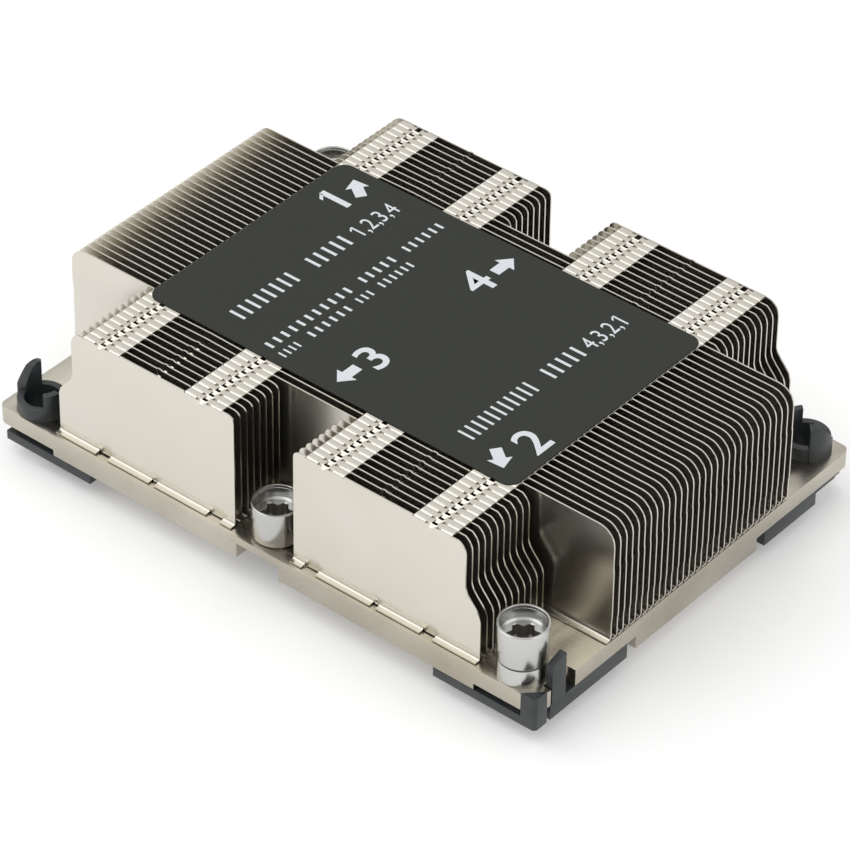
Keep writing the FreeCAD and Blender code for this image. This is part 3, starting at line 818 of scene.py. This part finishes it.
@dataclass
class Label:
    """Film on top of the long fins with plain numbers, arrows and bars in white ink."""

    corner: float = 2.2
    corner_steps: int = 8
    chamfer: float = 0.04
    ink: float = 0.015
    overhang: Span = (0.55, 0.9)
    numbers: tuple[tuple[str, float, float], ...] = (
        ("1", -30.5, 14.7), ("2", 31.5, -12.9), ("3", 0.4, -12.8), ("4", 0.3, 12.3),
    )
    number_height: float = 5.8
    number_stretch: float = 1.1
    number_weight: float = 0.012
    stem_share: float = 0.14
    bar_share: float = 0.3
    arrows: tuple[Arrow, ...] = (
        Arrow(-29.7, 19.2, 146.0), Arrow(30.5, -19.1, -36.0), Arrow(0.3, -18.4, -90.0), Arrow(0.9, 18.4, 90.0),
    )
    lines: tuple[Line, ...] = (
        Line(-20.6, 3.1, ((-18.9, -4.4, 8), (-1.3, 8.3, 5)), ("1,2,3,4", 10.3, 8.9)),
        Line(-12.5, 1.75, ((-21.5, -1.4, 11), (0.4, 9.1, 5), (11.0, 20.6, 6))),
        Line(-9.5, 1.6, ((-21.7, -17.1, 4), (-15.2, -5.0, 6), (-3.8, 0.1, 3), (1.5, 9.7, 6))),
        Line(24.8, 3.1, ((-18.8, -2.0, 11), (0.6, 9.6, 5)), ("4,3,2,1", 10.5, 8.8)),
    )
    top: float = field(init=False)

    def build(self) -> None:
        """Make the film and its print."""
        _, high = millimetre_box("top_label")
        self.top = high.z - self.ink
        dress(self.film(), LABEL_FILM.build(), "top_label")
        ink = LABEL_INK.build()
        shapes = [
            stacked([[(x, y, z) for x, y in outline] for z in (self.top, high.z)]) for outline in self.plain_shapes()
        ]
        dress(new_object("label_marks", shapes), ink)
        for text, x, y in self.numbers:
            self.digits(f"label_number_{text}", text, (x, y), self.number_height, None, ink)
        for line in self.lines:
            if line.digits:
                text, start, width = line.digits
                name = "label_order_up" if text[0] == "1" else "label_order_down"
                middle = (line.x - line.height / 2, start + width / 2)
                self.digits(name, text, middle, line.height, width, ink)

    def film(self) -> Object:
        """Film with rounded corners, a hair thinner than the label for its print.

        Returns:
            The film.
        """
        low, high = millimetre_box("top_label")
        right, back = high.x + self.overhang[0], high.y + self.overhang[1]
        left, front = low.x - self.overhang[0], low.y - self.overhang[1]
        outline = []
        for turn, (x, y) in enumerate(((right, back), (left, back), (left, front), (right, front))):
            for step in range(self.corner_steps + 1):
                angle = radians(90 * (turn + step / self.corner_steps))
                outline.append((
                    x - copysign(self.corner, x) + self.corner * cos(angle),
                    y - copysign(self.corner, y) + self.corner * sin(angle),
                ))
        rings = ((0.0, low.z), (0.0, self.top - self.chamfer), (self.chamfer, self.top))
        return new_object("label_film", [stacked([
            [(x - copysign(inset, x), y - copysign(inset, y), z) for x, y in outline] for inset, z in rings
        ])])

    def flag(self, stem: float, top: float, height: float) -> list[Span]:
        """Short slanting stroke at the top of a figure one.

        Args:
            stem: left side of the upright along Y.
            top: top of the figure along X.
            height: height of the figure.

        Returns:
            Corners of the stroke on the label.
        """
        reach, drop, stroke, overlap = height * 0.2, height * 0.17, height * 0.13, 0.02
        return [
            (top, stem + overlap), (top + stroke, stem + overlap), (top + drop + stroke, stem - reach),
            (top + drop, stem - reach),
        ]

    def plain_shapes(self) -> list[list[Span]]:
        """Plain shapes of the print.

        Returns:
            Outlines of the arrows, the flags of the ones and the bars that stand for words.
        """
        shapes = [arrow.outline() for arrow in self.arrows]
        _, x, y = self.numbers[0]
        stem = y - self.number_height * self.stem_share / 2
        shapes.append(self.flag(stem, x - self.number_height / 2, self.number_height))
        for line in self.lines:
            top = line.x - line.height
            if line.digits:
                text, start, width = line.digits
                stem = start if text[0] == "1" else start + width - line.height * self.stem_share
                shapes.append(self.flag(stem, top, line.height))
            for start, end, letters in line.words:
                step = (end - start) / letters
                bar = step * self.bar_share
                for letter in range(letters):
                    left = start + step * letter + (step - bar) / 2
                    shapes.append([(line.x, left), (line.x, left + bar), (top, left + bar), (top, left)])
        return shapes

    def digits(
        self, name: str, text: str, middle: Span, height: float, width: float | None,
        material: Material,
    ) -> None:
        """Plain digits in ink, their top towards -X.

        Args:
            name: name of the piece.
            text: the digits.
            middle: middle of the digits along X and Y.
            height: height of a digit.
            width: width of the whole text, or None for the label's numbers.
            material: the ink.
        """
        curve = bpy.data.curves.new(name, "FONT")
        curve.body = text
        curve.extrude = 0.5
        curve.offset = 0.0 if width else self.number_weight
        curve.resolution_u = 6
        holder = bpy.data.objects.new(name + "_curve", curve)
        bpy.context.scene.collection.objects.link(holder)
        bpy.context.view_layer.update()
        mesh = bpy.data.meshes.new_from_object(holder)
        bpy.data.objects.remove(holder)
        left, right = (pick(vertex.co.x for vertex in mesh.vertices) for pick in (min, max))
        digit_top = max(vertex.co.y for vertex in mesh.vertices)
        scale_up = height / digit_top
        scale_along = width / (right - left) if width else scale_up * self.number_stretch
        for vertex in mesh.vertices:
            along = (vertex.co.x - (right + left) / 2) * scale_along
            up = (vertex.co.y - digit_top / 2) * scale_up
            z = self.top + (self.ink if vertex.co.z > 0 else 0.0)
            vertex.co = Vector((middle[0] - up, middle[1] + along, z)) * MM
        dress(finish_object(name, mesh, 30.0), material)


# ---- nuts


@dataclass
class Nut:
    """Captive nut turned from bar, with a six-lobed key recess inside its cup."""

    number: int
    key_turn: float = 237.5
    lobes: int = 6
    columns: int = 96
    stem: float = 2.2
    thread: float = 1.65
    thread_depth: float = 5.0
    thread_groove: float = 0.12
    thread_turns: int = 8
    cup_height: float = 6.5
    cup: float = 4.05
    rim: float = 3.65
    floor: float = 3.3
    cup_depth: float = 2.5
    lobe: float = 2.6
    root: float = 1.9
    lobe_depth: float = 2.3
    lobe_power: float = 0.7
    edge: float = 0.12

    def build(self, turned: Material, recess_shade: Material) -> None:
        """Make the nut and dress it.

        Args:
            turned: finish of the nut.
            recess_shade: finish of its key recess, rougher and darker in colour as painted shade.
        """
        node = f"nut_{self.number}"
        low, high = millimetre_box(node)
        axis = (low + high) / 2
        seat = high.z - self.cup_height
        rings = []
        for radius, z, lobed in self.section(low.z, seat, high.z):
            rings.append([])
            for column in range(self.columns):
                angle = 2 * pi * column / self.columns
                reach = self.star(angle) * radius if lobed else radius
                rings[-1].append((axis.x + reach * cos(angle), axis.y + reach * sin(angle), z))
        piece = new_object(f"{node}_body", [stacked(rings)], 35.0)
        dress(piece, turned, node, f"{node}_turning")
        # Faces inside the key recess take the darker finish: painted shade in the recess.
        piece.data.materials.append(recess_shade)
        recess_top = high.z - self.cup_depth - 0.05
        for face in piece.data.polygons:
            centre = face.center / MM
            from_axis = hypot(centre.x - axis.x, centre.y - axis.y)
            if seat < centre.z < recess_top and from_axis < self.lobe:
                face.material_index = 1

    def star(self, angle: float) -> float:
        """Distance of the key recess's wall from the axis at an angle in radians."""
        wave = cos(self.lobes * angle - radians(self.key_turn))
        return self.root + (self.lobe - self.root) * (0.5 + 0.5 * copysign(abs(wave) ** self.lobe_power, wave))

    def section(self, bottom: float, seat: float, top: float) -> list[tuple[float, float, bool]]:
        """Rings from the end of the thread, round the outside and down into the key recess.

        Args:
            bottom: height of the nut's lower end.
            seat: height of the cup's underside.
            top: height of the cup's rim.

        Returns:
            Radius and height of each ring, and whether it is lobed, with its radius as a share of the lobes.
        """
        edge, floor = self.edge, top - self.cup_depth
        rings = [(self.thread * 0.6, self.thread_depth), (self.thread, self.thread_depth)]
        pitch = self.thread_depth / self.thread_turns
        for turn in range(self.thread_turns):
            z = self.thread_depth - pitch * (turn + 0.5)
            rings += [(self.thread + self.thread_groove, z), (self.thread, z - pitch / 2 + 0.02)]
        rings += [(self.thread + edge * 1.5, 0.0), (self.stem - edge, 0.0), (self.stem, edge)]
        rings = [(radius, bottom + z) for radius, z in rings]
        # The skirt that narrows to the seat, the outside of the cup and its rim.
        rings += [
            (self.stem, seat), (self.cup - 0.3, seat), (self.cup - 0.25, seat + 0.06),
            (self.cup - 0.08, seat + 0.35), (self.cup, seat + 0.5), (self.cup, top - edge),
            (self.cup - edge, top), (self.rim + 0.06, top), (self.rim, top - 0.06),
        ]
        # The wall of the cup with its step, and its floor up to the recess.
        rings += [
            (self.rim - 0.06, top - 0.5), (self.rim - 0.1, top - 0.52), (self.rim - 0.14, floor + 0.3),
            (self.floor, floor + 0.12), (self.floor - 0.12, floor), (self.lobe + 0.12, floor),
        ]
        lower = floor - self.lobe_depth
        lobed = [(1.04, floor - 0.02), (1.0, floor - 0.12), (0.99, lower + 0.25), (0.9, lower)]
        return [(*ring, False) for ring in rings] + [(*ring, True) for ring in lobed] + [(0.15, lower - 0.05, False)]


# ---- plate, rings, clip


@dataclass
class Base:
    """Base plate, nuts, collars and retaining rings."""

    edge: float = 0.12
    nuts: tuple[int, ...] = (1, 2, 3, 4)

    def build(self) -> None:
        """Make the plate and the nuts, and dress the turned rings."""
        plate = softened_copy("plated_plate", "base_plate", self.edge)
        dress(plate, PLATE.build(), "base_plate")
        # The recess finish is the nut's metal darkened as painted shade.
        turned, steel, recess_shade = TURNED.build(), STEEL.build(), SHADED_RECESS.build()
        for node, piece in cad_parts.items():
            if node.startswith(("collar", "retaining_ring")):
                finish = turned if node.startswith("collar") else steel
                put_on(piece, finish)
                LOG.info("%s: kept as it is, finish %s", node, finish.name)
        for number in self.nuts:
            Nut(number).build(turned, recess_shade)


@dataclass
class Clip:
    """Moulded processor clip, whose two ring-shaped guides carry an outer and an inner post each."""

    edge: float = 0.15
    post_root: float = 10.8
    outer_angles: Span = (-46.0, 14.0)
    outer_low: float = 0.25
    outer_tip: float = 10.0
    inner_angles: Span = (136.0, 176.0)
    inner_share: float = 0.75
    angle_room: float = 15.0
    guide_reach: float = 5.2

    def post_share(self, angle: float) -> float:
        """Height of a post as a share of its full height.

        Args:
            angle: way from the guide's middle, from the near short edge.

        Returns:
            The share: the outer post slopes from a point at one side, and the inner one is even.
        """
        first, last = self.outer_angles
        if first - self.angle_room < angle < last + self.angle_room:
            start = first + self.outer_tip
            return 1 - (1 - self.outer_low) * min(max((angle - start) / (last - start), 0.0), 1.0)
        first, last = self.inner_angles
        return self.inner_share if first - self.angle_room < angle % 360 < last + self.angle_room else 1.0

    def taper(self, clip: Object) -> None:
        """Lower and slope the tops of the guides' posts.

        Args:
            clip: the clip, whose guides stand on the diagonal that crosses the corner nuts'.
        """
        low, high = millimetre_box("nut_2")
        guide_x, guide_y = (low.x + high.x) / 2, -(low.y + high.y) / 2
        for vertex in clip.data.vertices:
            for side in (-1, 1):
                x = side * vertex.co.x / MM - guide_x
                y = side * vertex.co.y / MM - guide_y
                above = vertex.co.z / MM - self.post_root
                if above >= 0 and hypot(x, y) <= self.guide_reach:
                    share = self.post_share(degrees(atan2(y, x)))
                    vertex.co.z = (self.post_root + above * share) * MM

    def build(self) -> None:
        """Make the clip with its softened edges and dress it."""
        clip = softened_copy("moulded_clip", "processor_clip", self.edge)
        self.taper(clip)
        dress(clip, CLIP_NYLON.build(), "processor_clip")


# ---- studio


@dataclass(frozen=True)
class Softbox:
    """Square lamp: its name, its place and its side in metres, and its power in watts."""

    name: str
    place: Point
    size: float
    watts: float

    def build(self) -> None:
        """Hang the lamp and point it at the object."""
        data = bpy.data.lights.new(self.name, "AREA")
        data.size = self.size
        data.energy = self.watts
        lamp = bpy.data.objects.new(self.name, data)
        bpy.context.scene.collection.objects.link(lamp)
        lamp.location = self.place
        aim = Vector((0, 0, 0.01)) - Vector(self.place)
        lamp.rotation_euler = aim.to_track_quat("-Z", "Y").to_euler()


@dataclass
class Studio:
    """Camera, lamps, world and floor."""

    azimuth: float = 39.5777
    elevation: float = 38.4594
    roll: float = 0.6026
    distance: float = 775.692
    aim_right: float = -2.377
    aim_up: float = 0.187
    aim_height: float = 8.4
    lens: float = 210.76149
    shift: float = 0.021
    lamps: tuple[Softbox, ...] = (
        Softbox("key_softbox", (-0.5, -0.3, 0.85), 1.3, 5.0),
        Softbox("fill_softbox", (0.75, 0.2, 0.5), 0.7, 0.8),
        Softbox("top_softbox", (-0.49, 0.6, 0.63), 0.9, 0.3),
    )
    sky_span: Span = (0.05, 0.75)
    sky_low: str = "#C4C2BE"
    sky_high: str = "#FFFFFF"
    sky_strength: float = 0.8
    floor_half: float = 3000.0
    floor_drop: float = 0.02
    floor_glow: float = 0.22
    floor_color: tuple[float, float, float, float] = (0.85, 0.85, 0.85, 1.0)

    def build(self) -> None:
        """Set up the camera, the world, the lamps and the floor."""
        bpy.context.scene.view_settings.view_transform = "Standard"
        self.camera()
        self.world()
        for lamp in self.lamps:
            lamp.build()
        self.floor()

    def camera(self) -> None:
        """Camera at its three-quarter view."""
        azimuth, elevation, roll = (radians(angle) for angle in (self.azimuth, self.elevation, self.roll))
        right = Vector((cos(azimuth), sin(azimuth), 0.0))
        forward = Vector((-sin(azimuth) * cos(elevation), cos(azimuth) * cos(elevation), -sin(elevation)))
        up = right.cross(forward)
        place = (right * self.aim_right + up * self.aim_up - forward * self.distance) * MM
        place.z += self.aim_height * MM
        across = cos(roll) * right + sin(roll) * up
        upward = cos(roll) * up - sin(roll) * right
        data = bpy.data.cameras.new("camera")
        data.lens = self.lens
        data.shift_x = self.shift
        data.clip_start = 0.05
        data.clip_end = 20.0
        camera = bpy.data.objects.new("camera", data)
        bpy.context.scene.collection.objects.link(camera)
        turn = Matrix((across, upward, -forward)).transposed().to_4x4()
        camera.matrix_world = Matrix.Translation(place) @ turn
        bpy.context.scene.camera = camera

    def world(self) -> None:
        """Pale surroundings that darken near the horizon, so that metal keeps some contrast, and white behind."""
        world = bpy.data.worlds.new("studio")
        bpy.context.scene.world = world
        background = surface_node(world)
        tree = world.node_tree
        where = add_node(tree, "TexCoord").outputs["Generated"]
        height = add_node(tree, "SeparateXYZ", {"Vector": where}).outputs["Z"]
        sky = add_node(tree, "ValToRGB", {"Fac": height})
        for element, place, tone in zip(sky.color_ramp.elements, self.sky_span, (self.sky_low, self.sky_high)):
            element.position = place
            element.color = linear(tone)
        path = add_node(tree, "LightPath").outputs
        rays = {0: path["Is Camera Ray"], 1: path["Is Transmission Ray"]}
        seen = add_node(tree, "Math", rays, operation="MAXIMUM").outputs[0]
        colors = {"Factor": seen, 6: sky.outputs[0], 7: (1.0, 1.0, 1.0, 1.0)}
        color = add_node(tree, "Mix", colors, data_type="RGBA").outputs[2]
        strength = add_node(tree, "MapRange", {"Value": seen, "To Min": self.sky_strength, "To Max": 1.0}).outputs[0]
        set_inputs(background, {"Color": color, "Strength": strength})

    def floor(self) -> None:
        """Large white floor that shows as plain white and keeps the object's shadow."""
        half = self.floor_half
        corners = ((-half, -half), (half, -half), (half, half), (-half, half))
        floor = new_object("floor", [([(x, y, -self.floor_drop) for x, y in corners], [[0, 1, 2, 3]])])
        material = bpy.data.materials.new("white_sweep")
        shader = surface_node(material)
        tree = material.node_tree
        path = add_node(tree, "LightPath").outputs
        rays = {0: path["Is Camera Ray"], 1: path["Is Glossy Ray"]}
        seen = add_node(tree, "Math", rays, operation="MAXIMUM").outputs[0]
        glow = add_node(tree, "Math", {0: seen, 1: self.floor_glow}, operation="MULTIPLY").outputs[0]
        set_inputs(shader, {"Emission Strength": glow, "Emission Color": (1, 1, 1, 1), "Base Color": self.floor_color})
        set_inputs(shader, {"Roughness": 0.9, "Specular IOR Level": 0.0})
        put_on(floor, material)


def main() -> None:
    """Build every sub-assembly in order, then the studio."""
    logging.basicConfig(level=logging.INFO, format="%(name)s: %(message)s")
    Base().build()
    FinStack().build()
    Label().build()
    Clip().build()
    Studio().build()


if __name__ == "__main__":
    main()
